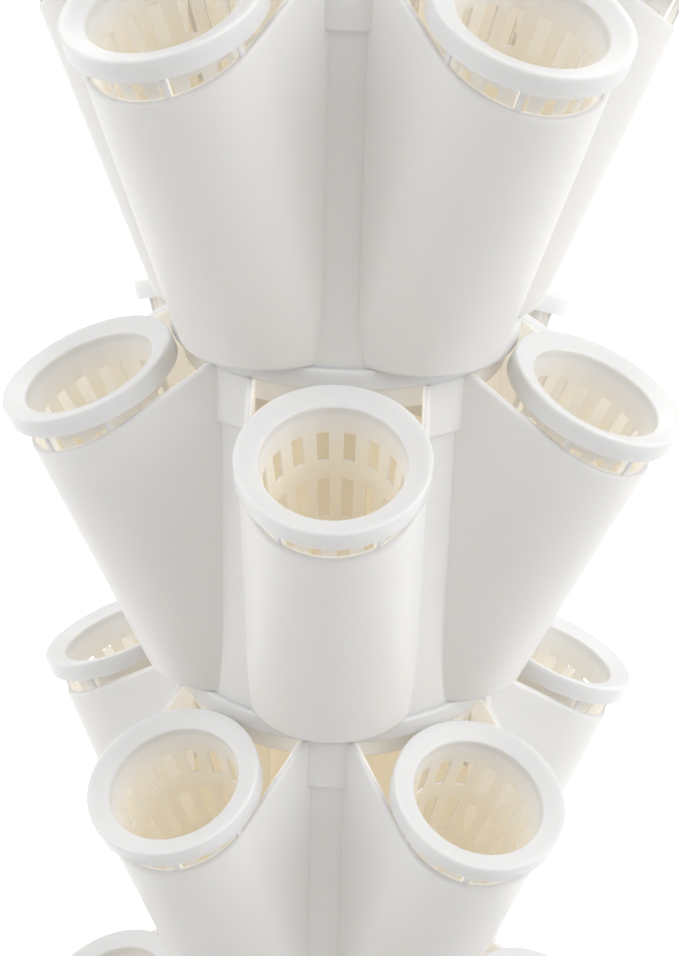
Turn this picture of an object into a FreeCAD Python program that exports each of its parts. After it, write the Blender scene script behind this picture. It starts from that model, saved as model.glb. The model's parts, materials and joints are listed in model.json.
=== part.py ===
"""Vertical planter tower: a stack of moulded tiers with five tilted pockets each, standing on a
water tank.  A net cup hangs in every pocket, and a pump in the tank lifts water up a riser pipe
to the spray head, from where it drips back down through the tiers.

Millimetres, +Z up.  The origin is on the floor under the middle of the tank, and the direction
-Y is the front: tiers 1, 3 and 5 have a pocket there, tiers 2 and 4 are turned by half a pocket.
"""
import FreeCAD, Part
import math
import os

from FreeCAD import Placement, Rotation, Vector

os.makedirs("parts", exist_ok=True)

X_AXIS = Vector(1, 0, 0)
Y_AXIS = Vector(0, 1, 0)
Z_AXIS = Vector(0, 0, 1)
CENTRE = Vector(0, 0, 0)

# Stack
tier_count = 5
pocket_count = 5
tier_pitch = 139.0              # from one tier's seat to the next one's
lip_below_top = 9.0             # middle of a cup's lip, below the top of its tier

# Pockets
pocket_tilt = 23.0              # degrees that pocket and cup lean outwards
pocket_radius = 30.6            # outside of the round front
pocket_wall = 2.4
pocket_axis_radius = 92.5       # from the tower's axis to the pocket's, at lip height
mouth_tilt = 33.0               # degrees that the mouth's edge falls outwards
mouth_start_radius = 57.5       # where that edge leaves the tier's flat top
mouth_edge_round = 1.2
pocket_foot_round = 1.5
rest_angles = (-84.0, -34.0, 34.0, 84.0)
rest_width = 2.0
rest_inset = 1.6                # how far a rest stands in from the pocket's inner wall
rest_length = 20.0
seat_gap = 0.3                  # running gap between what slides and what carries it

# Core of a tier, and how the tiers stack
core_radius = 60.4              # outside of the core, seen in the grooves between the pockets
core_wall = 2.0
collar_step = 1.7               # how far the collar at the top stands out of the core
collar_height = 20.0
skirt_overhang = 0.5            # how far the skirt stands out of the collar under it
skirt_wall = 3.0
skirt_height = 7.0
spigot_depth = 9.0
spigot_wall = 2.0
spigot_gap = 0.35
floor_thickness = 2.0
floor_hole_radius = 50.0

# Net cup, measured from the plane of its lip
flange_radius = 32.0
flange_thickness = 1.5
bead_radius = 0.9
lip_drop = 7.5                  # height of the flange's turned-down edge
lip_wall = 1.2
dish_depth = 2.2                # fall of the flange from its bead to the opening
mouth_radius = 24.0
mouth_bevel = 0.9
cup_wall = 1.0
cup_depth = 60.0
cup_foot_radius = 20.0
cup_foot_bevel = 1.5
cup_outset = 1.5                # cup's axis outside the pocket's axis
slot_count = 16
slot_width = 4.2
slot_rows = ((14.0, 26.5), (35.0, 53.0))    # top and bottom of each row of slots
base_hole_count = 8
base_hole_radius = 3.0
base_hole_circle = 12.5

# Water path
riser_radius = 10.0
riser_wall = 1.8
riser_gap = 0.3
plate_radius = 54.0
plate_thickness = 2.5
plate_rim_height = 6.0
drip_hole_radius = 1.75
drip_circles = ((22.0, 10), (34.0, 15), (44.0, 20))
head_radius = 36.0
head_height = 14.0
head_wall = 2.0
head_socket_depth = 8.0
head_hole_count = 20
head_hole_radius = 1.5

# Top cap
cap_rise = 16.0
cap_wall = 2.0
cap_edge_round = 6.0
knob_radius = 13.0
knob_height = 14.0
knob_round = 4.0

# Water tank and its lid
foot_height = 6.0
foot_radius = 13.0
foot_inset = 27.0               # from the side of the tank's floor
foot_count = 6
tank_height = 176.0
tank_bottom_radius = 162.0
tank_top_radius = 178.0
tank_wall = 3.0
tank_rim_width = 5.0
tank_rim_height = 4.0
lid_thickness = 3.0
lid_gap = 0.5
lid_edge_wall = 2.5
lid_edge_drop = 14.0
lid_collar_height = 24.0
lid_gusset_reach = 12.0
lid_gusset_height = 14.0
lid_gusset_width = 3.0

# Filler opening in the lid, with a hinged flap
filler_inset = 54.0             # from the side of the tank's rim
filler_radius = 30.0
filler_lip_wall = 2.5
filler_lip_height = 5.0
flap_overhang = 3.0
flap_thickness = 2.5
flap_edge_drop = 2.0
flap_tab_length = 9.0
flap_tab_width = 18.0
hinge_barrel_radius = 4.0
hinge_pin_radius = 1.5
hinge_pin_gap = 0.1
hinge_offset = 8.0              # from the filler's lip to the hinge
hinge_barrel_length = 22.0
hinge_ear_width = 5.0

# Grommet in the lid for the pump's cable
grommet_inset = 50.0            # from the side of the tank's rim
grommet_hole_radius = 7.0
grommet_bore_radius = 4.0
grommet_flange_radius = 10.5
grommet_flange_thickness = 2.0

# Pump
pump_axis_height = 36.0         # above the tank's floor
volute_radius = 23.0
volute_wall = 4.0
volute_front = -11.0
volute_back = 11.0
motor_length = 46.0
motor_width = 52.0
motor_height = 48.0
motor_round = 6.0
rotor_bore_radius = 11.5
rotor_radius = 10.0
rotor_length = 38.0
vane_count = 6
vane_radius = 15.0
vane_width = 8.0
vane_thickness = 2.0
shaft_radius = 1.5
shaft_gap = 0.08
shaft_seat = 3.0
outlet_neck = 3.0               # shoulder on the volute that the riser stands on
outlet_depth = 18.0             # how far the outlet reaches into the riser
outlet_wall = 2.0
strainer_length = 14.0
strainer_wall = 2.0
strainer_slot_count = 7
strainer_slot_width = 2.4
strainer_slot_pitch = 5.0
gland_radius = 6.0
gland_length = 8.0
gland_bore_radius = 3.0
sucker_radius = 8.0
sucker_spacing_x = 34.0
sucker_spacing_y = 34.0
sucker_stem_radius = 3.5

# Sizes that follow from those above
half_turn = 180.0 / pocket_count
collar_radius = core_radius + collar_step
skirt_radius = collar_radius + skirt_overhang
bore_radius = core_radius - core_wall
spigot_radius = bore_radius - spigot_gap
pocket_bore = pocket_radius - pocket_wall
lip_height = tier_pitch - lip_below_top
cup_axis_radius = pocket_axis_radius + cup_outset / math.cos(math.radians(pocket_tilt))
tank_floor = foot_height + tank_wall
foot_circle = tank_bottom_radius - foot_inset
filler_y = filler_inset - tank_top_radius
grommet_y = tank_top_radius - grommet_inset
tank_top = foot_height + tank_height
lid_top = tank_top + lid_thickness
stack_base = lid_top + lid_collar_height
stack_top = stack_base + tier_count * tier_pitch
pump_axis_z = tank_floor + pump_axis_height
riser_foot = pump_axis_z + volute_radius + outlet_neck


def cylinder(radius, low, high, x=0.0, y=0.0):
    """Upright cylinder between two heights."""
    return Part.makeCylinder(radius, high - low, Vector(x, y, low))


def ring(outer, inner, low, high, x=0.0, y=0.0):
    """Upright ring between two heights."""
    return cylinder(outer, low, high, x, y).cut(cylinder(inner, low - 1.0, high + 1.0, x, y))


def cylinder_y(radius, front, back, x, z):
    """Cylinder along Y between two depths."""
    return Part.makeCylinder(radius, back - front, Vector(x, front, z), Y_AXIS)


def block(x0, x1, y0, y1, z0, z1):
    """Box between two corners."""
    return Part.makeBox(x1 - x0, y1 - y0, z1 - z0, Vector(x0, y0, z0))


def turned(shape, degrees, centre=CENTRE, axis=Z_AXIS):
    """Copy of a shape, turned about an axis."""
    copy = shape.copy()
    copy.rotate(centre, axis, degrees)
    return copy


def raised(shape, height):
    """Copy of a shape, moved up."""
    copy = shape.copy()
    copy.translate(Vector(0, 0, height))
    return copy


def spun(outline):
    """Solid of revolution about Z of a closed outline of (radius, height) points.

    A leg of two points is an arc through the first of them to the second.
    """
    edges = []
    here = Vector(outline[0][0], 0, outline[0][1])
    for leg in outline[1:] + outline[:1]:
        if isinstance(leg[0], tuple):
            through = Vector(leg[0][0], 0, leg[0][1])
            there = Vector(leg[1][0], 0, leg[1][1])
            edges.append(Part.Arc(here, through, there).toShape())
        else:
            there = Vector(leg[0], 0, leg[1])
            edges.append(Part.makeLine(here, there))
        here = there
    return Part.Face(Part.Wire(edges)).revolve(CENTRE, Z_AXIS, 360)


def quarter(centre, radius, start):
    """Leg of an outline: a quarter circle about a centre, from an angle in degrees, counter-clockwise."""
    through = math.radians(start + 45.0)
    end = math.radians(start + 90.0)
    return ((centre[0] + radius * math.cos(through), centre[1] + radius * math.sin(through)),
            (centre[0] + radius * math.cos(end), centre[1] + radius * math.sin(end)))


def leaned(radius, height):
    """Placement of the plane at right angles to a pocket's axis, on the front side."""
    return Placement(Vector(0, -radius, height), Rotation(X_AXIS, pocket_tilt))


def save(shape, node):
    """Write one piece under its own name."""
    shape = shape.removeSplitter() if len(shape.Solids) == 1 else shape
    assert shape.isValid(), node
    shape.exportStep("parts/" + node + ".step")
    return shape


def trough(radius):
    """Tilted U-shaped bar of a pocket: a round front, and flat sides that run to the core."""
    reach = 2.0 * tier_pitch
    back = core_radius + pocket_radius
    left = Vector(-radius, back, 0)
    left_front = Vector(-radius, 0, 0)
    right_front = Vector(radius, 0, 0)
    right = Vector(radius, back, 0)
    edges = [
        Part.makeLine(left, left_front),
        Part.Arc(left_front, Vector(0, -radius, 0), right_front).toShape(),
        Part.makeLine(right_front, right),
        Part.makeLine(right, left),
    ]
    face = Part.Face(Part.Wire(edges))
    face.translate(Vector(0, 0, -reach))
    bar = face.extrude(Vector(0, 0, 2.0 * reach))
    bar.Placement = leaned(pocket_axis_radius, lip_height)
    return bar


def under_mouth():
    """Everything below the sloping plane of a pocket's mouth."""
    size = 4.0 * tier_pitch
    space = Part.makeBox(size, size, size, Vector(-size / 2, -size / 2, -size))
    space.Placement = Placement(Vector(0, -mouth_start_radius, tier_pitch), Rotation(X_AXIS, mouth_tilt))
    return space


def mouth_height(point):
    """Height of a point over the plane of the front pocket's mouth."""
    fall = (-point.y - mouth_start_radius) * math.tan(math.radians(mouth_tilt))
    return point.z - tier_pitch + fall


def flange_underside(radius):
    """Height of the underside of a cup's flange, from the plane of its lip."""
    neck = mouth_radius + cup_wall
    run = flange_radius - bead_radius - neck
    fall = dish_depth * (flange_radius - bead_radius - radius) / run
    return -fall - flange_thickness


def cup_rests():
    """Upright ribs in a pocket's mouth, which carry the flange of the cup."""
    inner = pocket_bore - rest_inset
    top = flange_underside(inner - cup_outset) - seat_gap
    ribs = []
    for angle in rest_angles:
        rib = block(-rest_width / 2, rest_width / 2, -pocket_radius + pocket_wall / 2, -inner,
                    top - rest_length, top)
        rib.rotate(CENTRE, Z_AXIS, angle)
        rib.Placement = leaned(pocket_axis_radius, lip_height).multiply(rib.Placement)
        ribs.append(rib)
    return ribs


def make_tier():
    """One tier, standing on its seat at height 0, with its first pocket at the front."""
    body = cylinder(core_radius, 0, tier_pitch)
    body = body.fuse(cylinder(collar_radius, tier_pitch - collar_height, tier_pitch))
    body = body.fuse(cylinder(skirt_radius, 0, skirt_height))
    slab = cylinder(3.0 * core_radius, skirt_height, tier_pitch)
    pocket = trough(pocket_radius).common(slab).common(under_mouth())
    foot = [edge for edge in pocket.Edges
            if edge.BoundBox.ZMax < skirt_height + 0.1 and edge.BoundBox.YMin < 0]
    pocket = pocket.makeFillet(pocket_foot_round, foot)
    rim = [edge for edge in pocket.Edges
           if edge.BoundBox.ZMin > skirt_height + 1.0 and edge.BoundBox.ZLength > 1.0
           and abs(mouth_height(edge.Vertexes[0].Point)) < 0.01
           and abs(mouth_height(edge.Vertexes[-1].Point)) < 0.01]
    pocket = pocket.makeFillet(mouth_edge_round, rim)
    hollow = trough(pocket_bore)
    hollow = hollow.common(cylinder(3.0 * core_radius, skirt_height + floor_thickness, 1.5 * tier_pitch))
    angles = [360.0 * i / pocket_count for i in range(pocket_count)]
    body = body.multiFuse([turned(pocket, angle) for angle in angles])
    void = cylinder(bore_radius, skirt_height + floor_thickness, 1.5 * tier_pitch)
    void = void.multiFuse([turned(hollow, angle) for angle in angles])
    body = body.cut(void)
    body = body.cut(cylinder(floor_hole_radius, -1.0, tier_pitch))
    body = body.cut(ring(skirt_radius - skirt_wall, spigot_radius, -1.0, skirt_height))
    body = body.cut(cylinder(spigot_radius - spigot_wall, -1.0, skirt_height))
    body = body.fuse(ring(spigot_radius, spigot_radius - spigot_wall, -spigot_depth, skirt_height))
    ribs = [turned(rib, angle) for rib in cup_rests() for angle in angles]
    return body.multiFuse(ribs).removeSplitter()


def make_cup():
    """A net cup, with the plane of its lip at height 0 and its axis upright."""
    neck = mouth_radius + cup_wall
    bead_inner = flange_radius - bead_radius
    foot_inner = cup_foot_radius - cup_wall
    lip_inner = flange_radius - lip_wall
    cup = spun([
        (0, -cup_depth),
        (cup_foot_radius - cup_foot_bevel, -cup_depth),
        (cup_foot_radius, -cup_depth + cup_foot_bevel),
        (neck, flange_underside(neck)),
        (lip_inner, flange_underside(lip_inner)),
        (lip_inner, -lip_drop),
        (flange_radius, -lip_drop),
        (flange_radius, -bead_radius),
        quarter((bead_inner, -bead_radius), bead_radius, 0),
        (mouth_radius + mouth_bevel, -dish_depth),
        (mouth_radius, -dish_depth - mouth_bevel),
        (foot_inner, -cup_depth + cup_wall),
        (0, -cup_depth + cup_wall),
    ])
    cutters = []
    for top, bottom in slot_rows:
        slot = block(-slot_width / 2, slot_width / 2, -flange_radius, -foot_inner + 5.0 * cup_wall,
                     -bottom, -top)
        cutters += [turned(slot, 360.0 * (i + 0.5) / slot_count) for i in range(slot_count)]
    for i in range(base_hole_count):
        hole = cylinder(base_hole_radius, -cup_depth - 1.0, -cup_depth + 2.0 * cup_wall, 0, base_hole_circle)
        cutters.append(turned(hole, 360.0 * i / base_hole_count))
    return cup.cut(Part.makeCompound(cutters))


def make_drip_plate():
    """Perforated plate that lies on a tier's floor, round the riser."""
    low = skirt_height + floor_thickness
    plate = cylinder(plate_radius, low, low + plate_thickness)
    plate = plate.fuse(ring(riser_radius + riser_gap + spigot_wall, riser_radius, low, low + plate_rim_height))
    holes = [cylinder(riser_radius + riser_gap, low - 1.0, low + plate_rim_height + 1.0)]
    for circle, count in drip_circles:
        for i in range(count):
            hole = cylinder(drip_hole_radius, low - 1.0, low + plate_thickness + 1.0, 0, circle)
            holes.append(turned(hole, 360.0 * i / count))
    return plate.cut(Part.makeCompound(holes))


def make_cap():
    """Cap on the top tier: the same skirt and spigot as a tier, a low crown and a knob."""
    low = stack_top
    shoulder = low + skirt_height
    crown = shoulder + cap_rise
    outside = spun([
        (0, low),
        (skirt_radius, low),
        (skirt_radius, shoulder),
        (skirt_radius - cap_edge_round, shoulder + cap_edge_round),
        (knob_radius, crown),
        (0, crown),
    ])
    inside = spun([
        (0, low - 1.0),
        (skirt_radius - skirt_wall, low - 1.0),
        (skirt_radius - skirt_wall, shoulder - cap_wall),
        (skirt_radius - cap_edge_round - cap_wall, shoulder + cap_edge_round - cap_wall),
        (knob_radius, crown - cap_wall),
        (0, crown - cap_wall),
    ])
    cap = outside.cut(inside)
    spigot = ring(spigot_radius, spigot_radius - spigot_wall, low - spigot_depth, crown)
    cap = cap.fuse(spigot.common(outside.fuse(cylinder(skirt_radius, low - spigot_depth, low))))
    knob = cylinder(knob_radius, crown - cap_wall / 2, crown + knob_height)
    knob = knob.makeFillet(knob_round, [edge for edge in knob.Edges
                                        if edge.BoundBox.ZMin > crown + knob_height - 0.1])
    return cap.fuse(knob)


def make_riser():
    """Pipe from the pump's outlet up to the spray head."""
    return ring(riser_radius, riser_radius - riser_wall, riser_foot, head_floor() - riser_gap)


def head_floor():
    """Height of the underside of the spray head's bowl."""
    return stack_top - head_height + spigot_depth


def make_spray_head():
    """Shallow perforated bowl with a socket that sits on the riser."""
    low = head_floor()
    head = cylinder(head_radius, low, low + head_height - spigot_depth + skirt_height / 2)
    head = head.cut(cylinder(head_radius - head_wall, low + head_wall, low + head_height))
    head = head.fuse(ring(riser_radius + head_wall, riser_radius + riser_gap, low - head_socket_depth, low))
    holes = [cylinder(riser_radius - riser_wall, low - 1.0, low + head_wall + 1.0)]
    for i in range(head_hole_count):
        hole = cylinder(head_hole_radius, low - 1.0, low + head_wall + 1.0, 0, head_radius - 3.0 * head_wall)
        holes.append(turned(hole, 360.0 * i / head_hole_count))
    return head.cut(Part.makeCompound(holes))


def make_tank():
    """Round tapered water tank with a rim that carries the lid."""
    tank = spun([
        (0, foot_height),
        (tank_bottom_radius, foot_height),
        (tank_top_radius - tank_rim_width + tank_wall, tank_top - tank_rim_height),
        (tank_top_radius, tank_top - tank_rim_height),
        (tank_top_radius, tank_top),
        (tank_top_radius - tank_rim_width, tank_top),
        (tank_bottom_radius - tank_wall, tank_floor),
        (0, tank_floor),
    ])
    return tank


def make_feet():
    """Rubber feet under the tank."""
    foot = cylinder(foot_radius, 0, foot_height, 0, -foot_circle)
    return Part.makeCompound([turned(foot, 360.0 * i / foot_count) for i in range(foot_count)])


def hinge_x():
    """Distance of the flap's hinge from the middle plane, on the left."""
    return -(filler_radius + filler_lip_wall + hinge_offset)


def hinge_z():
    """Height of the flap's hinge."""
    return lid_top + filler_lip_height + flap_thickness / 2


def make_lid():
    """Lid of the tank: socket collar for the lowest tier, filler opening and cable hole."""
    edge_radius = tank_top_radius + lid_gap + lid_edge_wall
    lid = cylinder(edge_radius, tank_top - lid_edge_drop, lid_top)
    lid = lid.cut(cylinder(edge_radius - lid_edge_wall, tank_top - lid_edge_drop - 1.0, tank_top))
    lid = lid.fuse(cylinder(collar_radius, lid_top, stack_base))
    web = Part.Face(Part.makePolygon([
        Vector(collar_radius - collar_step, -lid_gusset_width / 2, lid_top),
        Vector(collar_radius + lid_gusset_reach, -lid_gusset_width / 2, lid_top),
        Vector(collar_radius, -lid_gusset_width / 2, lid_top + lid_gusset_height),
        Vector(collar_radius - collar_step, -lid_gusset_width / 2, lid_top + lid_gusset_height),
        Vector(collar_radius - collar_step, -lid_gusset_width / 2, lid_top),
    ])).extrude(Vector(0, lid_gusset_width, 0))
    webs = [turned(web, 360.0 * (i + 0.5) / (2 * pocket_count)) for i in range(2 * pocket_count)]
    lid = lid.multiFuse(webs)
    lid = lid.cut(cylinder(bore_radius, stack_base - spigot_depth - spigot_gap, stack_base + 1.0))
    lid = lid.cut(cylinder(floor_hole_radius, tank_top - 1.0, stack_base))
    filler_lip = filler_radius + filler_lip_wall
    lid = lid.fuse(cylinder(filler_lip, tank_top, lid_top + filler_lip_height, 0, filler_y))
    lid = lid.cut(cylinder(filler_radius, tank_top - 1.0, lid_top + filler_lip_height + 1.0, 0, filler_y))
    lid = lid.cut(cylinder(grommet_hole_radius, tank_top - 1.0, lid_top + 1.0, 0, grommet_y))
    ear_start = hinge_barrel_length / 2 + seat_gap
    for side in (-1, 1):
        near = filler_y + side * ear_start
        far = filler_y + side * (ear_start + hinge_ear_width)
        low, high = min(near, far), max(near, far)
        ear = cylinder_y(hinge_barrel_radius, low, high, hinge_x(), hinge_z())
        ear = ear.fuse(block(hinge_x() - hinge_barrel_radius, hinge_x() + hinge_barrel_radius, low, high,
                             lid_top - lid_thickness / 2, hinge_z()))
        lid = lid.fuse(ear)
    pin_hole = cylinder_y(hinge_pin_radius, filler_y - hinge_barrel_length, filler_y + hinge_barrel_length,
                          hinge_x(), hinge_z())
    return lid.cut(pin_hole)


def make_flap():
    """Round flap over the filler opening, with its hinge barrel and a finger tab."""
    low = lid_top + filler_lip_height + seat_gap
    radius = filler_radius + filler_lip_wall + flap_overhang
    flap = cylinder(radius, low - flap_edge_drop, low + flap_thickness, 0, filler_y)
    inner = filler_radius + filler_lip_wall + seat_gap
    flap = flap.cut(cylinder(inner, low - flap_edge_drop - 1.0, low, 0, filler_y))
    tab = block(0, radius + flap_tab_length, filler_y - flap_tab_width / 2, filler_y + flap_tab_width / 2,
                low, low + flap_thickness)
    strap = block(hinge_x(), 0, filler_y - hinge_barrel_length / 2, filler_y + hinge_barrel_length / 2,
                  low, low + flap_thickness)
    barrel = cylinder_y(hinge_barrel_radius, filler_y - hinge_barrel_length / 2,
                        filler_y + hinge_barrel_length / 2, hinge_x(), hinge_z())
    flap = flap.multiFuse([tab, strap, barrel])
    bore = cylinder_y(hinge_pin_radius + hinge_pin_gap, filler_y - hinge_barrel_length,
                      filler_y + hinge_barrel_length, hinge_x(), hinge_z())
    return flap.cut(bore)


def make_hinge_pin():
    """Steel pin through the flap's barrel and the two ears of the lid."""
    half = hinge_barrel_length / 2 + seat_gap + hinge_ear_width
    return cylinder_y(hinge_pin_radius, filler_y - half, filler_y + half, hinge_x(), hinge_z())


def make_grommet():
    """Rubber grommet in the lid, where the pump's cable comes out."""
    grommet = cylinder(grommet_hole_radius, tank_top - grommet_flange_thickness,
                       lid_top + grommet_flange_thickness, 0, grommet_y)
    grommet = grommet.fuse(cylinder(grommet_flange_radius, lid_top, lid_top + grommet_flange_thickness,
                                    0, grommet_y))
    grommet = grommet.fuse(cylinder(grommet_flange_radius, tank_top - grommet_flange_thickness, tank_top,
                                    0, grommet_y))
    return grommet.cut(cylinder(grommet_bore_radius, tank_top - 5.0, lid_top + 5.0, 0, grommet_y))


def make_pump_body():
    """Pump: a round volute under the riser, and the motor's housing behind it."""
    volute = cylinder_y(volute_radius, volute_front, volute_back, 0, pump_axis_z)
    motor = block(-motor_width / 2, motor_width / 2, volute_back, volute_back + motor_length,
                  pump_axis_z - motor_height / 2, pump_axis_z + motor_height / 2)
    motor = motor.makeFillet(motor_round, [edge for edge in motor.Edges if edge.BoundBox.YLength > 1.0])
    outlet_radius = riser_radius - riser_wall
    outlet = cylinder(outlet_radius, pump_axis_z, riser_foot + outlet_depth)
    shoulder = cylinder(riser_radius, pump_axis_z, riser_foot)
    gland = Part.makeCylinder(gland_radius, gland_length + 1.0,
                              Vector(0, volute_back + motor_length - 1.0, pump_axis_z + motor_height / 4),
                              Y_AXIS)
    body = volute.multiFuse([motor, outlet, shoulder, gland])
    cavity = cylinder_y(volute_radius - volute_wall, volute_front - 1.0, volute_back - volute_wall / 2, 0,
                        pump_axis_z)
    rotor = cylinder_y(rotor_bore_radius, volute_front, rotor_back() + seat_gap, 0, pump_axis_z)
    bore = cylinder(outlet_radius - outlet_wall, pump_axis_z, riser_foot + outlet_depth + 1.0)
    seat = cylinder_y(shaft_radius, 0, rotor_back() + seat_gap + shaft_seat, 0, pump_axis_z)
    cable = Part.makeCylinder(gland_bore_radius, gland_length + 1.0,
                              Vector(0, volute_back + motor_length, pump_axis_z + motor_height / 4),
                              Y_AXIS)
    return body.cut(Part.makeCompound([cavity])).cut(rotor).cut(bore).cut(seat).cut(cable)


def rotor_back():
    """Depth at which the rotor ends."""
    return volute_front + vane_width + 2.0 * seat_gap + rotor_length


def make_impeller():
    """Rotor magnet with the impeller's vanes in front of it, on the shaft."""
    front = volute_front + 2.0 * seat_gap
    vanes = front + vane_width
    rotor = cylinder_y(rotor_radius, vanes, rotor_back(), 0, pump_axis_z)
    hub = cylinder_y(2.0 * vane_thickness, front, vanes, 0, pump_axis_z)
    impeller = rotor.fuse(hub)
    for i in range(vane_count):
        vane = block(0, vane_radius, front, vanes + 1.0, pump_axis_z - vane_thickness / 2,
                     pump_axis_z + vane_thickness / 2)
        if vane_radius > rotor_radius:
            vane = vane.cut(block(rotor_radius - 1.0, vane_radius + 1.0, vanes, vanes + 2.0,
                                  pump_axis_z - vane_thickness, pump_axis_z + vane_thickness))
        impeller = impeller.fuse(turned(vane, 360.0 * i / vane_count, Vector(0, 0, pump_axis_z), Y_AXIS))
    return impeller.cut(cylinder_y(shaft_radius + shaft_gap, front - 1.0, rotor_back() + 1.0, 0, pump_axis_z))


def make_shaft():
    """Ceramic shaft, held in the motor's housing and in the strainer's hub."""
    return cylinder_y(shaft_radius, volute_front - shaft_seat, rotor_back() + seat_gap + shaft_seat, 0,
                      pump_axis_z)


def make_strainer():
    """Slotted cover over the pump's inlet."""
    front = volute_front - strainer_length
    shell = cylinder_y(volute_radius, front, volute_front, 0, pump_axis_z)
    shell = shell.cut(cylinder_y(volute_radius - strainer_wall, front + strainer_wall, volute_front + 1.0, 0,
                                 pump_axis_z))
    post = cylinder_y(shaft_radius + strainer_wall, front, volute_front, 0, pump_axis_z)
    shell = shell.fuse(post)
    slots = []
    for i in range(strainer_slot_count):
        middle = (i - (strainer_slot_count - 1) / 2) * strainer_slot_pitch
        if abs(middle) < shaft_radius + strainer_wall:
            continue
        half = math.sqrt((volute_radius - 2 * strainer_wall) ** 2 - middle ** 2)
        slots.append(block(middle - strainer_slot_width / 2, middle + strainer_slot_width / 2,
                           front - 1.0, front + strainer_wall + 1.0, pump_axis_z - half, pump_axis_z + half))
    shell = shell.cut(Part.makeCompound(slots))
    return shell.cut(cylinder_y(shaft_radius, volute_front - shaft_seat, volute_front + 1.0, 0, pump_axis_z))


def make_suckers():
    """Rubber suckers that hold the pump on the tank's floor."""
    top = pump_axis_z - motor_height / 2
    middle = volute_back + motor_length / 2
    cups = []
    for side_x in (-1, 1):
        for side_y in (-1, 1):
            sucker = spun([
                (0, tank_floor + 2.0),
                (sucker_radius - 1.0, tank_floor),
                (sucker_radius, tank_floor),
                (sucker_radius, tank_floor + 1.0),
                (sucker_stem_radius, tank_floor + 5.0),
                (sucker_stem_radius, top),
                (0, top),
            ])
            sucker.translate(Vector(side_x * sucker_spacing_x / 2, middle + side_y * sucker_spacing_y / 2, 0))
            cups.append(sucker)
    return Part.makeCompound(cups)


def write_stack():
    """Tiers with their drip plates and cups, from the lowest up."""
    tier = make_tier()
    plate = make_drip_plate()
    cup = make_cup()
    hung = cup.copy()
    hung.Placement = leaned(cup_axis_radius, lip_height)
    for level in range(tier_count):
        seat = stack_base + level * tier_pitch
        turn = half_turn * (level % 2)
        save(raised(turned(tier, turn), seat), "tier_%d" % (level + 1))
        save(raised(turned(plate, turn), seat), "drip_plate_%d" % (level + 1))
        for pocket in range(pocket_count):
            angle = turn + 360.0 * pocket / pocket_count
            save(raised(turned(hung, angle), seat), "net_cup_%d_%d" % (level + 1, pocket + 1))


write_stack()
save(make_cap(), "top_cap")
save(make_riser(), "riser_pipe")
save(make_spray_head(), "spray_head")
save(make_tank(), "water_tank")
save(make_feet(), "tank_feet")
save(make_lid(), "tank_lid")
save(make_flap(), "filler_flap")
save(make_hinge_pin(), "flap_hinge_pin")
save(make_grommet(), "cable_grommet")
save(make_pump_body(), "pump_body")
save(make_impeller(), "pump_impeller")
save(make_shaft(), "pump_shaft")
save(make_strainer(), "pump_strainer")
save(make_suckers(), "pump_suckers")
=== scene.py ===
import json
import math

import bmesh
import bpy
from mathutils import Matrix, Vector


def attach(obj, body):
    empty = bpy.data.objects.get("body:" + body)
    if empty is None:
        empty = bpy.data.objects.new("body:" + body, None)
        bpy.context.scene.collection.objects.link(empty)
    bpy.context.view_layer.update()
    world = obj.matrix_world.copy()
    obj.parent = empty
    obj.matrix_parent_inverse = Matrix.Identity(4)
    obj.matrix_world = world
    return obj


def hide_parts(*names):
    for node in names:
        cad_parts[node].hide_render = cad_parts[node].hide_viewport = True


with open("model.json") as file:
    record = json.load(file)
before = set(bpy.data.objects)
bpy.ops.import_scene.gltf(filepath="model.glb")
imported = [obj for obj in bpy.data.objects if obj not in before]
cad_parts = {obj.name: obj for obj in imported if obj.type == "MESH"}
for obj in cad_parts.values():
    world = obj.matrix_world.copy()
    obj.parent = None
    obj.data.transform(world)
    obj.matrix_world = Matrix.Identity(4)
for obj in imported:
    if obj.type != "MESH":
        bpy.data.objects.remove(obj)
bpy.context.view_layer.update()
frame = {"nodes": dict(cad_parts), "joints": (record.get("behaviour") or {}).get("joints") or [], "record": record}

nodes = frame["nodes"]


# Tiers.  Each is one injection moulding of warm-white polypropylene: satin, with the fine peel of
# a spark-eroded mould and edges that are never quite sharp.  The inner walls carry painted light: an
# emitted glow that stands for light soaking through them, and a warmer white deep in the pockets
# that is painted shade.  The tiers plug into each other by a spigot.

class Signal:
    """A shader socket that sums, differences and products can be written with."""

    def __init__(self, finish, socket):
        self.finish = finish
        self.socket = socket

    def _math(self, operation, first, second):
        return self.finish.node("ShaderNodeMath", {"operation": operation}, {0: first, 1: second})

    def __add__(self, other):
        return self._math("ADD", self, other)

    def __radd__(self, other):
        return self._math("ADD", other, self)

    def __sub__(self, other):
        return self._math("SUBTRACT", self, other)

    def __rsub__(self, other):
        return self._math("SUBTRACT", other, self)

    def __mul__(self, other):
        return self._math("MULTIPLY", self, other)

    def __rmul__(self, other):
        return self._math("MULTIPLY", other, self)


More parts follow.
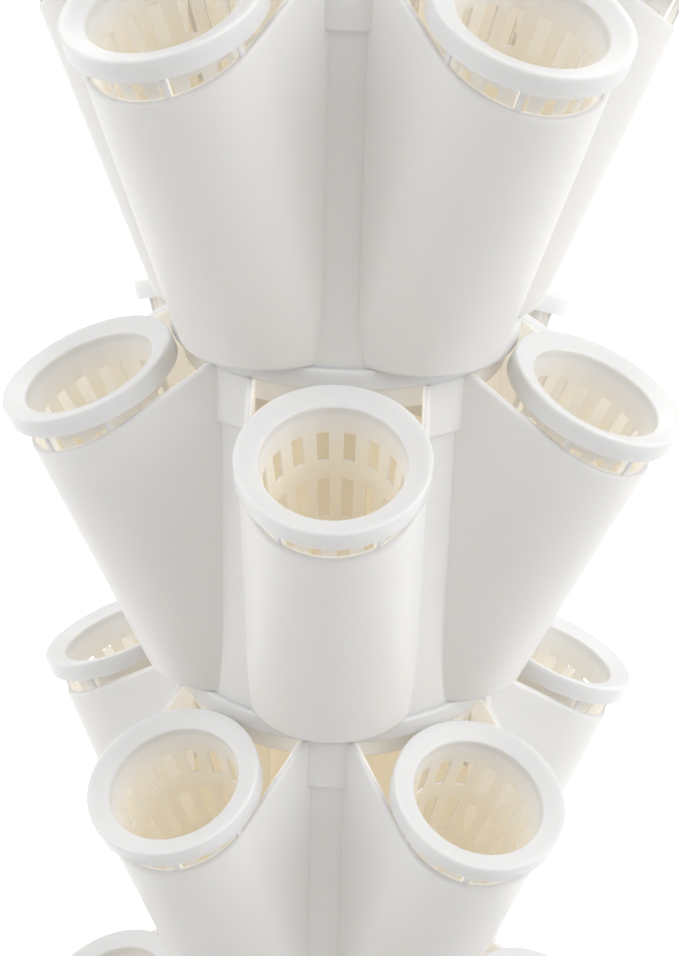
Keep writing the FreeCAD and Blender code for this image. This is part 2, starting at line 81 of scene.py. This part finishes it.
class Finish:
    """A material made of nodes, with one shader."""

    def __init__(self, name):
        self.material = bpy.data.materials.new(name)
        self.material.use_nodes = True
        self.tree = self.material.node_tree
        self.tree.nodes.clear()
        output = self.tree.nodes.new("ShaderNodeOutputMaterial")
        self.shader = self.tree.nodes.new("ShaderNodeBsdfPrincipled")
        self.tree.links.new(self.shader.outputs[0], output.inputs["Surface"])

    def node(self, kind, settings, inputs, output=0):
        """Add a node: its settings first, then the values or links of its sockets."""
        made = self.tree.nodes.new(kind)
        for name, value in settings.items():
            setattr(made, name, value)
        self._feed(made, inputs)
        return Signal(self, made.outputs[output])

    def shade(self, **inputs):
        """Set the shader's own sockets; a name is the socket's, with _ for each space."""
        self._feed(self.shader, {name.replace("_", " "): value for name, value in inputs.items()})

    def _feed(self, made, inputs):
        for key, value in inputs.items():
            if isinstance(value, Signal):
                self.tree.links.new(value.socket, made.inputs[key])
            else:
                made.inputs[key].default_value = value

    def math(self, operation, *values):
        """One Math node that has no sign to write it with."""
        return self.node("ShaderNodeMath", {"operation": operation}, dict(enumerate(values)))

    def place(self, stretch=(1.0, 1.0, 1.0)):
        """Object coordinates, in metres, times a factor for each axis."""
        spot = self.node("ShaderNodeTexCoord", {}, {}, "Object")
        if stretch == (1.0, 1.0, 1.0):
            return spot
        return self.node("ShaderNodeMapping", {}, {"Vector": spot, "Scale": stretch})

    def parts(self, vector):
        """The three coordinates of a vector."""
        first = self.node("ShaderNodeSeparateXYZ", {}, {0: vector})
        return [Signal(self, socket) for socket in first.socket.node.outputs]

    def cloud(self, size, detail=2.0, stretch=(1.0, 1.0, 1.0)):
        """Noise about 0.5 whose patches are about that many metres wide."""
        return self.node("ShaderNodeTexNoise", {},
                         {"Vector": self.place(stretch), "Scale": 1.0 / size,
                          "Detail": detail, "Roughness": 0.55})

    def step(self, value, start, end):
        """0 before the start, 1 past the end, and a smooth change between."""
        return self.node("ShaderNodeMapRange", {"interpolation_type": "SMOOTHSTEP"},
                         {0: value, 1: start, 2: end, 3: 0.0, 4: 1.0})

    def tint(self, factor, low, high):
        """Colour between two, each given as a colour or a signal, by a factor from 0 to 1."""
        ends = [end if isinstance(end, Signal) else (*end, 1.0) for end in (low, high)]
        first, second, mixed = 6, 7, 2          # the node's sockets for colours
        return self.node("ShaderNodeMix", {"data_type": "RGBA"},
                         {"Factor": factor, first: ends[0], second: ends[1]}, mixed)

    def relief(self, height, depth, edge_radius=0.0):
        """Normal from a height of 0 to 1 over a depth in metres, with softened edges."""
        inputs = {"Height": height, "Distance": depth, "Strength": 1.0}
        if edge_radius:
            inputs["Normal"] = self.node("ShaderNodeBevel", {"samples": 8}, {"Radius": edge_radius})
        return self.node("ShaderNodeBump", {}, inputs)


def moulded(name, low, high, roughness, peel, edge_radius):
    """Satin moulded plastic between two tones, which light soaks into a little."""
    finish = Finish(name)
    finish.shade(Base_Color=finish.tint(finish.cloud(0.09), low, high),
                 Roughness=roughness + 0.12 * (finish.cloud(0.03) - 0.5),
                 Normal=finish.relief(finish.cloud(0.0009, 3.0), peel, edge_radius),
                 IOR=1.49,
                 Subsurface_Weight=0.8,
                 Subsurface_Scale=0.004,
                 Subsurface_Radius=(1.0, 0.88, 0.74))
    return finish


def dress(piece, finish):
    """Give a piece that finish alone."""
    piece.data.materials.clear()
    piece.data.materials.append(finish.material)


def nodes_of(slot):
    """Names of the CAD nodes that have that material slot."""
    return [part["node"] for part in frame["record"]["subparts"] if part["material_slot"] == slot]


tier_white = (0.835, 0.825, 0.81), (0.865, 0.858, 0.845)
# Painted warm shade: the tier's white, made warmer deep inside the pockets.
tier_painted_deep_shade = (0.86, 0.82, 0.74)  # the same white, deep in a pocket
satin = 0.42
peel = 0.00002
tier_edge = 0.0013
tier_count = 5
tier_pitch = 0.139
tier_seat = 0.209               # height of the lowest tier's seat
lip_height = 0.130              # of the cups' lips, over their tier's seat
pocket_lean = math.radians(23.0)
pocket_reach = 0.0925           # of a pocket's axis from the tower's, at lip height
pocket_bore = 0.0282
core_bore = 0.0584
pocket_turn = math.radians(72.0)    # between two pockets of a tier
# Painted light: emitted colours on the inner walls and the spigot that stand for light soaking through them.  The
# fades below set where that painted glow and the painted warm shade fall.
painted_glow_front = (0.31, 0.298, 0.265)   # of a pocket's outer wall, below its rim
painted_glow_high = (0.262, 0.245, 0.214)   # of the other inner walls, near the mouths
painted_glow_low = (0.188, 0.164, 0.128)    # of all inner walls, deep down
painted_glow_spigot = (0.10, 0.094, 0.084)
front_fade = 0.004, 0.018           # out from the pocket's axis
bore_fade = 0.0002, 0.0009          # past the bores' radii
floor_fade = 0.0080, 0.0088         # over the tier's seat, as the next two
spigot_fade = -0.0002, 0.0004
deep_fade = 0.060, 0.125


def tier_plastic_with_painted_light(tier):
    """The tiers' plastic, with painted light and painted warm shade on the inner walls of that tier."""
    finish = moulded("tier_plastic_%d" % tier, *tier_white, satin, peel, tier_edge)
    tone = Signal(finish, finish.shader.inputs["Base Color"].links[0].from_socket)
    seat = tier_seat + (tier - 1) * tier_pitch
    turned = pocket_turn / 2 if tier % 2 == 0 else 0.0

    def past(value, base, fade):
        """0 to 1 between two distances past a base."""
        return finish.step(value, base + fade[0], base + fade[1])

    x, y, z = finish.parts(finish.place())
    radius = finish.math("SQRT", x * x + y * y)
    azimuth = finish.math("ARCTAN2", x, 0.0 - y)
    azimuth = finish.math("WRAP", azimuth - turned, pocket_turn / 2, -pocket_turn / 2)
    across = radius * finish.math("SINE", azimuth)
    outwards = radius * finish.math("COSINE", azimuth) - pocket_reach
    outwards = outwards - (z - (seat + lip_height)) * math.tan(pocket_lean)
    outwards = outwards * math.cos(pocket_lean)
    front = past(outwards, 0.0, front_fade)
    outwards = finish.math("MAXIMUM", outwards, 0.0)
    off_axis = finish.math("SQRT", across * across + outwards * outwards)
    in_pocket = 1.0 - past(off_axis, pocket_bore, bore_fade)
    in_core = 1.0 - past(radius, core_bore, bore_fade)
    inside = finish.math("MAXIMUM", in_pocket, in_core) * past(z, seat, floor_fade)
    spigot = 1.0 - past(z, seat, spigot_fade)
    deep = 1.0 - past(z, seat, deep_fade)
    # Painted light and shade: glow brightest on the front wall by the mouth, dimmer and warmer deep down, and a
    # warmer base colour deep in the pockets.
    painted_soak_light = finish.tint(deep, painted_glow_high, painted_glow_low)
    painted_soak_light = finish.tint(front * (1.0 - deep), painted_soak_light, painted_glow_front)
    glow = finish.tint(inside, (0.0, 0.0, 0.0), painted_soak_light)
    finish.shade(Base_Color=finish.tint(inside * deep, tone, tier_painted_deep_shade),
                 Emission_Color=finish.tint(spigot, glow, painted_glow_spigot),
                 Emission_Strength=1.0)
    return finish


for tier in range(1, tier_count + 1):
    dress(nodes["tier_%d" % tier], tier_plastic_with_painted_light(tier))


# Top cap.  One more moulding of the same plastic, which closes the highest tier's core.  It plugs
# in by its own spigot and lifts off by the knob.

cap_satin = 0.40
cap_edge = 0.0009
dress(nodes["top_cap"], moulded("cap_plastic", *tier_white, cap_satin, peel, cap_edge))


# Net cups.  Each is one thin moulding of milky translucent polypropylene: a dished flange with a
# rounded bead, a turned-down lip, and a tapered basket with two rows of slots and a drained foot.
# It hangs in its pocket by the flange and lifts out along its own axis.

flange_radius = 0.032
flange_thickness = 0.0015
bead_radius = 0.0009
lip_drop = 0.0075
lip_wall = 0.0012
dish_depth = 0.0022
dish_run = 0.0061               # over which the flange's underside falls that deep
dish_curve = (0.0292, -0.00062), (0.0270, -0.0014)  # radius and height, on its top face
mouth_radius = 0.024
mouth_round = 0.0009
wall = 0.001
neck_depth = 0.008              # of the last ring of points above the slots
basket_depth = 0.060
foot_radius = 0.020
foot_round = 0.0015
corner_run = 0.0007             # of the chamfer where the inner wall meets the floor
corner_rise = 0.0006
sectors = 8
slots_per_sector = 2
slot_width = 0.0042
slot_rows = ((0.014, 0.0265), (0.035, 0.053))
slot_spans = (0, 1, 3, 4)       # between the six heights of the slots' points
slot_ends = (0, 2, 3, 5)
columns_per_slot = 7            # of faces: three for the slot and two for half a rib at each side
slot_columns = (2, 3, 4)
slot_sides = (2, 5)
drain_radius = 0.003
drain_circle = 0.0125
drain_field = 0.0165, 0.0085    # outer and inner radius of the floor's patch round a drain hole
drain_step = 0.0016             # between points on the patch's sides
hub_radius = 0.0040
edge_round = 0.00022
edge_angle = 48
smooth_angle = 40
weld = 0.000001


def basket_radius(height, inside):
    """Radius of the basket's outer or inner wall at a height."""
    neck, neck_height = mouth_radius + wall, -dish_depth - flange_thickness
    foot, foot_height = foot_radius, -basket_depth + foot_round
    if inside:
        neck, neck_height = mouth_radius, -dish_depth - mouth_round
        foot, foot_height = foot_radius - wall, -basket_depth + wall
    return foot + (neck - foot) * (height - foot_height) / (neck_height - foot_height)


def rounded(centre, radius, start, end, steps):
    """Points (radius, height) of an arc between two angles in degrees."""
    turns = [math.radians(start + (end - start) * i / steps) for i in range(steps + 1)]
    return [(centre[0] + radius * math.cos(turn), centre[1] + radius * math.sin(turn))
            for turn in turns]


def cup_sector():
    """An eighth of a cup round the -Y side, its axis upright and its bead's top at height 0."""
    shell = bmesh.new()
    depth = shell.verts.layers.float.new("depth")
    half = math.pi / sectors
    unit = 2.0 * half / slots_per_sector
    columns = columns_per_slot * slots_per_sector

    def point(radius, turn, height, inside):
        vertex = shell.verts.new((radius * math.sin(turn), -radius * math.cos(turn), height))
        vertex[depth] = -height if inside else 0.0
        return vertex

    def row(radius, height, inside=False, slotted=False):
        turns = [-half + 2.0 * half * i / columns for i in range(columns + 1)]
        if slotted:
            edge = math.asin(slot_width / 2 / radius)
            rib = (unit / 2 + edge) / 2
            shifts = (-unit / 2, -rib, -edge, -edge / 3, edge / 3, edge, rib)
            for i in range(columns):
                middle = -half + unit * (i // columns_per_slot + 0.5)
                turns[i] = middle + shifts[i % columns_per_slot]
        return [point(radius, turn, height, inside) for turn in turns]

    def join(upper, lower, skipped=()):
        for i in range(columns):
            if i % columns_per_slot not in skipped:
                shell.faces.new((upper[i], upper[i + 1], lower[i + 1], lower[i]))

    slot_heights = []
    for top, bottom in slot_rows:
        slot_heights += [-top, -(top + bottom) / 2, -bottom]

    def basket(inside):
        return [row(basket_radius(height, inside), height, inside, True) for height in slot_heights]

    outer, inner = basket(False), basket(True)
    for wall_rows in (outer, inner):
        for j in range(len(wall_rows) - 1):
            join(wall_rows[j], wall_rows[j + 1], slot_columns if j in slot_spans else ())
    for j in slot_spans:
        for i in range(columns + 1):
            if i % columns_per_slot in slot_sides:
                shell.faces.new((outer[j][i], outer[j + 1][i], inner[j + 1][i], inner[j][i]))
    for j in slot_ends:
        for i in range(columns):
            if i % columns_per_slot in slot_columns:
                shell.faces.new((outer[j][i], outer[j][i + 1], inner[j][i + 1], inner[j][i]))

    foot_turn = rounded((foot_radius - foot_round, -basket_depth + foot_round), foot_round,
                        0, -90, 3)
    outside = [outer[-1]] + [row(*spot) for spot in foot_turn]
    outside.append(row(drain_field[0], -basket_depth))
    underside = -dish_depth - flange_thickness
    bead = rounded((flange_radius - bead_radius, -bead_radius), bead_radius, 0, 90, 4)
    mouth = rounded((mouth_radius + mouth_round, -dish_depth - mouth_round), mouth_round,
                    90, 180, 3)
    lip_inner = flange_radius - lip_wall
    lip_top = underside + dish_depth * (lip_inner - mouth_radius - wall) / dish_run
    rim = [(basket_radius(-neck_depth, False), -neck_depth), (mouth_radius + wall, underside),
           (lip_inner, lip_top), (lip_inner, -lip_drop), (flange_radius, -lip_drop)]
    rim += bead + list(dish_curve) + mouth
    rim = [outer[0]] + [row(*spot) for spot in rim]
    rim += [row(basket_radius(-neck_depth, True), -neck_depth, True), inner[0]]
    floor = -basket_depth + wall
    rise = floor + corner_rise
    inside = [inner[-1], row(basket_radius(rise, True), rise, True),
              row(foot_radius - wall - corner_run, floor, True), row(drain_field[0], floor, True)]
    for strip in (outside, rim, inside):
        for upper, lower in zip(strip, strip[1:]):
            join(upper, lower)

    loops = []
    for edge_row, height, within in ((outside[-1], -basket_depth, False),
                                     (inside[-1], floor, True)):
        near = row(drain_field[1], height, within)
        sides = [[point(drain_field[0] - drain_step * i, turn, height, within) for i in range(1, 5)]
                 for turn in (-half, half)]
        border = edge_row + sides[1] + near[::-1] + sides[0][::-1]
        middle = Vector((0.0, -drain_circle, height))
        hole = []
        for corner in border:
            vertex = shell.verts.new(middle + drain_radius * (corner.co - middle).normalized())
            vertex[depth] = corner[depth]
            hole.append(vertex)
        for i in range(len(border)):
            shell.faces.new((border[i], border[i - 1], hole[i - 1], hole[i]))
        loops.append(hole)
        centre = point(0.0, 0.0, height, within)
        ring = row(hub_radius, height, within)
        join(near, ring)
        for i in range(columns):
            shell.faces.new((ring[i], ring[i + 1], centre))
    for i in range(len(loops[0])):
        shell.faces.new((loops[0][i], loops[0][i - 1], loops[1][i - 1], loops[1][i]))
    mesh = bpy.data.meshes.new("cup_sector")
    shell.to_mesh(mesh)
    shell.free()
    return mesh


def sector_nodes():
    """Nodes that set copies of a sector round the axis and weld them, as the cup's mould is cut."""
    tree = bpy.data.node_groups.new("cup_of_sectors", "GeometryNodeTree")
    tree.interface.new_socket("Sector", in_out="INPUT", socket_type="NodeSocketGeometry")
    for name, kind in (("Sectors", "Int"), ("Weld", "Float"), ("Plastic", "Material")):
        tree.interface.new_socket(name, in_out="INPUT", socket_type="NodeSocket" + kind)
    tree.interface.new_socket("Cup", in_out="OUTPUT", socket_type="NodeSocketGeometry")

    def add(kind, links, **settings):
        made = tree.nodes.new(kind)
        for name, value in settings.items():
            setattr(made, name, value)
        for key, source in links.items():
            if isinstance(source, (int, float)):
                made.inputs[key].default_value = source
            else:
                tree.links.new(source, made.inputs[key])
        return made

    given = add("NodeGroupInput", {}).outputs
    points = add("GeometryNodePoints", {"Count": given["Sectors"]})
    index = add("GeometryNodeInputIndex", {})
    share = add("ShaderNodeMath", {0: 2.0 * math.pi, 1: given["Sectors"]}, operation="DIVIDE")
    angle = add("ShaderNodeMath", {0: index.outputs[0], 1: share.outputs[0]}, operation="MULTIPLY")
    turn = add("ShaderNodeCombineXYZ", {"Z": angle.outputs[0]})
    copies = add("GeometryNodeInstanceOnPoints",
                 {"Points": points.outputs[0], "Instance": given["Sector"],
                  "Rotation": turn.outputs[0]})
    real = add("GeometryNodeRealizeInstances", {"Geometry": copies.outputs[0]})
    welded = add("GeometryNodeMergeByDistance",
                 {"Geometry": real.outputs[0], "Distance": given["Weld"]})
    dressed = add("GeometryNodeSetMaterial",
                  {"Geometry": welded.outputs[0], "Material": given["Plastic"]})
    add("NodeGroupOutput", {"Cup": dressed.outputs[0]})
    return tree


def plain_mesh(maker):
    """Mesh of an object with its modifiers applied; the object goes."""
    bpy.context.view_layer.update()
    evaluated = maker.evaluated_get(bpy.context.evaluated_depsgraph_get())
    result = bpy.data.meshes.new_from_object(evaluated)
    bpy.data.objects.remove(maker)
    return result


def cup_shell(plastic):
    """One whole cup, closed and with its faces outwards."""
    maker = bpy.data.objects.new("cup_maker", cup_sector())
    bpy.context.scene.collection.objects.link(maker)
    ring = maker.modifiers.new("sectors", "NODES")
    ring.node_group = sector_nodes()
    values = {"Sectors": sectors, "Weld": weld, "Plastic": plastic.material}
    for socket in ring.node_group.interface.items_tree:
        if socket.name in values:
            ring[socket.identifier] = values[socket.name]
    mesh = plain_mesh(maker)
    work = bmesh.new()
    work.from_mesh(mesh)
    bmesh.ops.recalc_face_normals(work, faces=work.faces)
    work.to_mesh(mesh)
    work.free()
    maker = bpy.data.objects.new("cup_maker", mesh)
    bpy.context.scene.collection.objects.link(maker)
    edges = maker.modifiers.new("edges", "BEVEL")
    edges.width = edge_round
    edges.segments = 2
    edges.limit_method = "ANGLE"
    edges.angle_limit = math.radians(edge_angle)
    return plain_mesh(maker)


def smooth_by_angle(mesh, degrees):
    """Smooth shading but for edges sharper than that."""
    limit = math.radians(degrees)
    work = bmesh.new()
    work.from_mesh(mesh)
    for face in work.faces:
        face.smooth = True
    for edge in work.edges:
        edge.smooth = len(edge.link_faces) == 2 and edge.calc_face_angle(0.0) < limit
    work.to_mesh(mesh)
    work.free()


# Painted light and shade: inside the basket the cup glows as if lit through its wall, and deep down its colour
# turns warmer, as painted shade.
cup_tone_and_painted_shade = (0.87, 0.862, 0.848), (0.865, 0.825, 0.755)     # near the mouth and deep down
cup_painted_glows = (0.062, 0.060, 0.056), (0.097, 0.078, 0.048)    # stand for light that soaks in
basket_start = 0.002, 0.006     # depths over which the inside begins, and over which it deepens
basket_deep = 0.006, 0.022
cup_plastic_with_painted_light = Finish("cup_plastic_with_painted_light")
cup_depth = cup_plastic_with_painted_light.node("ShaderNodeAttribute", {"attribute_name": "depth"}, {}, "Fac")
in_basket = cup_plastic_with_painted_light.step(cup_depth, *basket_start)
deep_down = cup_plastic_with_painted_light.step(cup_depth, *basket_deep)
basket_painted_glow = cup_plastic_with_painted_light.tint(deep_down, *cup_painted_glows)
cup_plastic_with_painted_light.shade(Base_Color=cup_plastic_with_painted_light.tint(deep_down, *cup_tone_and_painted_shade),
                  Roughness=0.36 + 0.10 * (cup_plastic_with_painted_light.cloud(0.012) - 0.5),
                  Normal=cup_plastic_with_painted_light.relief(cup_plastic_with_painted_light.cloud(0.0007, 3.0), 0.000015),
                  Emission_Color=cup_plastic_with_painted_light.tint(in_basket, (0.0, 0.0, 0.0), basket_painted_glow),
                  Emission_Strength=1.0,
                  IOR=1.49,
                  Subsurface_Weight=0.8,
                  Subsurface_Scale=0.004,
                  Subsurface_Radius=(1.0, 0.88, 0.7))

cup = cup_shell(cup_plastic_with_painted_light)
smooth_by_angle(cup, smooth_angle)
for joint in frame["joints"]:
    if not joint["name"].startswith("cup_lift_"):
        continue
    place = joint["name"][len("cup_lift_"):]
    lean = Vector(joint["axis"]).normalized()
    level = lean.cross(Vector((0, 0, 1))).normalized()
    turn = Matrix((level, lean.cross(level), lean))
    solid = [turn @ v.co for v in nodes["net_cup_" + place].data.vertices]
    low = [min(point[i] for point in solid) for i in range(3)]
    high = [max(point[i] for point in solid) for i in range(3)]
    top = turn.transposed() @ Vector(((low[0] + high[0]) / 2, (low[1] + high[1]) / 2, high[2]))
    mesh = cup.copy()
    mesh.transform(Matrix.Translation(top) @ turn.transposed().to_4x4())
    piece = bpy.data.objects.new("cup_" + place + "_moulding", mesh)
    bpy.context.scene.collection.objects.link(piece)
    dress(piece, cup_plastic_with_painted_light)
    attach(piece, "cup_" + place)
    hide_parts("net_cup_" + place)


# Drip plates and spray head.  Thin white mouldings inside the tower that spread the water.  Both
# are always wet, so they carry a faint chalky film in patches.

wet_tones = (0.81, 0.80, 0.775), (0.87, 0.865, 0.85)        # bare and under the film
wet_plastic = Finish("wet_plastic")
film = wet_plastic.step(wet_plastic.cloud(0.011, 4.0), 0.48, 0.66)
crust = wet_plastic.cloud(0.0008, 3.0) + 0.6 * film
wet_plastic.shade(Base_Color=wet_plastic.tint(film, *wet_tones),
                  Roughness=0.34 + 0.30 * film,
                  Normal=wet_plastic.relief(crust, 0.00003, 0.0004),
                  IOR=1.49)
for name in nodes_of("inner_white"):
    dress(nodes[name], wet_plastic)


# Riser pipe.  A length of extruded rigid pipe from the pump's outlet to the spray head: glossy,
# with the faint long streaks of the die.  Its glow is painted light that stands for the light in the core.

pipe_tones = (0.85, 0.85, 0.835), (0.88, 0.88, 0.87)
pipe_painted_glow = (0.12, 0.08, 0.02, 1.0)
pipe_plastic_with_painted_light = Finish("pipe_plastic_with_painted_light")
streaks = pipe_plastic_with_painted_light.cloud(0.0012, 2.0, (1.0, 1.0, 0.01))
pipe_plastic_with_painted_light.shade(Base_Color=pipe_plastic_with_painted_light.tint(pipe_plastic_with_painted_light.cloud(0.05), *pipe_tones),
                   Roughness=0.20 + 0.14 * (streaks - 0.5),
                   Normal=pipe_plastic_with_painted_light.relief(streaks, 0.000015, 0.0004),
                   Emission_Color=pipe_painted_glow,
                   Emission_Strength=1.0,
                   IOR=1.53,
                   Coat_Weight=0.2,
                   Coat_Roughness=0.12)
for name in nodes_of("pipe_white"):
    dress(nodes[name], pipe_plastic_with_painted_light)


# Water tank, lid and filler flap.  Thicker mouldings of white polyethylene with a fine leathery
# stipple that hides scuffs.  The lid drops over the tank's rim and the tower stands in its collar.

tank_tones = (0.825, 0.82, 0.81), (0.855, 0.852, 0.845)
dust_tone = (0.62, 0.59, 0.54)
dust_fade = 0.004, 0.055        # heights over which the dust thins out
tank_plastic = Finish("tank_plastic")
stipple = tank_plastic.node("ShaderNodeTexVoronoi", {"feature": "SMOOTH_F1"},
                            {"Vector": tank_plastic.place(), "Scale": 750.0, "Smoothness": 0.6})
tank_height = tank_plastic.parts(tank_plastic.place())[2]
dust = 1.0 - tank_plastic.step(tank_height, *dust_fade)
dust = dust * tank_plastic.step(tank_plastic.cloud(0.02, 4.0), 0.30, 0.75)
tank_tone = tank_plastic.tint(tank_plastic.cloud(0.12), *tank_tones)
tank_plastic.shade(Base_Color=tank_plastic.tint(0.35 * dust, tank_tone, dust_tone),
                   Roughness=0.46 + 0.12 * (tank_plastic.cloud(0.025) - 0.5) + 0.15 * dust,
                   Normal=tank_plastic.relief(stipple, 0.00006, 0.0008),
                   IOR=1.5,
                   Subsurface_Weight=0.5,
                   Subsurface_Scale=0.003,
                   Subsurface_Radius=(1.0, 0.9, 0.78))
for name in nodes_of("tank_white"):
    dress(nodes[name], tank_plastic)


# Hinge pin.  A length of stainless wire that the filler flap turns on, pushed through the lid's
# ears and the flap's barrel.  It keeps the fine marks of the drawing die.

pin_steel = Finish("pin_steel")
marks = pin_steel.cloud(0.0003, 2.0, (0.04, 1.0, 1.0))
pin_steel.shade(Base_Color=pin_steel.tint(marks, (0.55, 0.55, 0.55), (0.66, 0.66, 0.65)),
                Metallic=1.0,
                Roughness=0.26 + 0.20 * (marks - 0.5),
                Normal=pin_steel.relief(marks, 0.000008, 0.0002))
for name in nodes_of("steel"):
    dress(nodes[name], pin_steel)


# Feet, cable grommet and pump suckers.  All are moulded black rubber, matte, with a little pale
# bloom.  The feet are glued under the tank, the grommet snaps into the hole in the lid, and the
# suckers hold the pump on the tank's floor.

rubber = Finish("rubber")
bloom = rubber.step(rubber.cloud(0.006, 4.0), 0.42, 0.80)
rubber.shade(Base_Color=rubber.tint(bloom, (0.035, 0.035, 0.035), (0.075, 0.073, 0.070)),
             Roughness=0.72 + 0.14 * bloom,
             Normal=rubber.relief(rubber.cloud(0.0005, 3.0), 0.00004, 0.0005),
             IOR=1.52)
for name in nodes_of("rubber_black"):
    dress(nodes[name], rubber)


# Pump.  A potted housing, an impeller and a strainer in fine-grained black plastic.  The impeller
# runs on a polished ceramic shaft.

pump_tones = (0.028, 0.028, 0.030), (0.045, 0.045, 0.047)
pump_plastic = Finish("pump_plastic")
grain = pump_plastic.cloud(0.0004, 3.0)
pump_plastic.shade(Base_Color=pump_plastic.tint(pump_plastic.cloud(0.02), *pump_tones),
                   Roughness=0.50 + 0.16 * (grain - 0.5),
                   Normal=pump_plastic.relief(grain, 0.00005, 0.0005),
                   IOR=1.5)
for name in nodes_of("pump_black"):
    dress(nodes[name], pump_plastic)

ceramic = Finish("ceramic")
specks = ceramic.step(ceramic.cloud(0.0006, 2.0), 0.60, 0.75)
ceramic.shade(Base_Color=ceramic.tint(specks, (0.82, 0.81, 0.77), (0.74, 0.73, 0.69)),
              Roughness=0.14 + 0.08 * specks,
              Normal=ceramic.relief(ceramic.cloud(0.001), 0.000004, 0.0002),
              IOR=1.7)
for name in nodes_of("ceramic"):
    dress(nodes[name], ceramic)


# Studio.  A white floor, soft boxes high at the front left and right, low at both sides and high
# behind, and a camera that looks down at the middle of the tower.

def seen(tree):
    """Socket that is 1 for rays from the camera, and for reflections and clear sights of it."""
    paths = tree.nodes.new("ShaderNodeLightPath").outputs
    total = paths["Is Camera Ray"]
    for name in ("Is Glossy Ray", "Is Transmission Ray"):
        larger = tree.nodes.new("ShaderNodeMath")
        larger.operation = "MAXIMUM"
        tree.links.new(total, larger.inputs[0])
        tree.links.new(paths[name], larger.inputs[1])
        total = larger.outputs[0]
    return total


floor_reach = 12.0
floor_mesh = bpy.data.meshes.new("floor")
floor_mesh.from_pydata([(-floor_reach, -floor_reach, 0), (floor_reach, -floor_reach, 0),
                        (floor_reach, floor_reach, 0), (-floor_reach, floor_reach, 0)],
                       [], [(0, 1, 2, 3)])
floor = bpy.data.objects.new("floor", floor_mesh)
bpy.context.scene.collection.objects.link(floor)
floor_white = Finish("floor_white")
floor_seen = Signal(floor_white, seen(floor_white.tree))
floor_white.shade(Base_Color=(0.9, 0.9, 0.9, 1.0),
                  Roughness=0.9,
                  Specular_IOR_Level=0.1,
                  Emission_Color=floor_white.tint(floor_seen, (0, 0, 0), (1, 1, 1)),
                  Emission_Strength=0.85)
dress(floor, floor_white)

sky_light = 0.27                # what the object gets from all round
sky_seen = 1.0                  # the white that is seen
world = bpy.data.worlds.new("studio")
bpy.context.scene.world = world
world.use_nodes = True
sky = world.node_tree
sky.nodes.clear()
sky_out = sky.nodes.new("ShaderNodeOutputWorld")
sky_mix = sky.nodes.new("ShaderNodeMixShader")
sky.links.new(seen(sky), sky_mix.inputs[0])
for socket, strength in ((1, sky_light), (2, sky_seen)):
    background = sky.nodes.new("ShaderNodeBackground")
    background.inputs["Color"].default_value = (1, 1, 1, 1)
    background.inputs["Strength"].default_value = strength
    sky.links.new(background.outputs[0], sky_mix.inputs[socket])
sky.links.new(sky_mix.outputs[0], sky_out.inputs["Surface"])


tower_middle = Vector((0, 0, 0.55))


def soft_box(name, place, size, power):
    """Square lamp that looks at the middle of the tower."""
    lamp = bpy.data.lights.new(name, "AREA")
    lamp.size = size
    lamp.energy = power
    holder = bpy.data.objects.new(name, lamp)
    holder.location = place
    aim = tower_middle - Vector(place)
    holder.rotation_euler = aim.to_track_quat("-Z", "Y").to_euler()
    bpy.context.scene.collection.objects.link(holder)


soft_box("left_box", (-1.16, -0.67, 1.68), 1.5, 10.8)
soft_box("right_box", (1.16, -0.67, 1.68), 1.5, 16.0)
soft_box("left_low_box", (-1.72, 0.0, 0.85), 1.5, 7.1)
soft_box("right_low_box", (1.72, 0.0, 0.85), 1.5, 6.9)
soft_box("back_box", (0.0, 1.12, 1.89), 1.4, 12.0)

camera_lens = 73.77
camera_place = Vector((0.0181, -0.6551, 0.8864))
camera_aim = Vector((-0.02539, 0.89647, -0.44238)).normalized()
camera_roll = 0.0289
level = camera_aim.cross(Vector((0, 0, 1))).normalized()
upright = level.cross(camera_aim)
side = math.cos(camera_roll) * level + math.sin(camera_roll) * upright
up = math.cos(camera_roll) * upright - math.sin(camera_roll) * level
camera = bpy.data.objects.new("camera", bpy.data.cameras.new("camera"))
camera.data.lens = camera_lens
camera.data.sensor_width = 36.0
camera.data.clip_start = 0.01
camera_turn = Matrix((side, up, -camera_aim)).transposed().to_4x4()
camera.matrix_world = Matrix.Translation(camera_place) @ camera_turn
bpy.context.scene.collection.objects.link(camera)
bpy.context.scene.camera = camera
bpy.context.scene.view_settings.view_transform = "Standard"
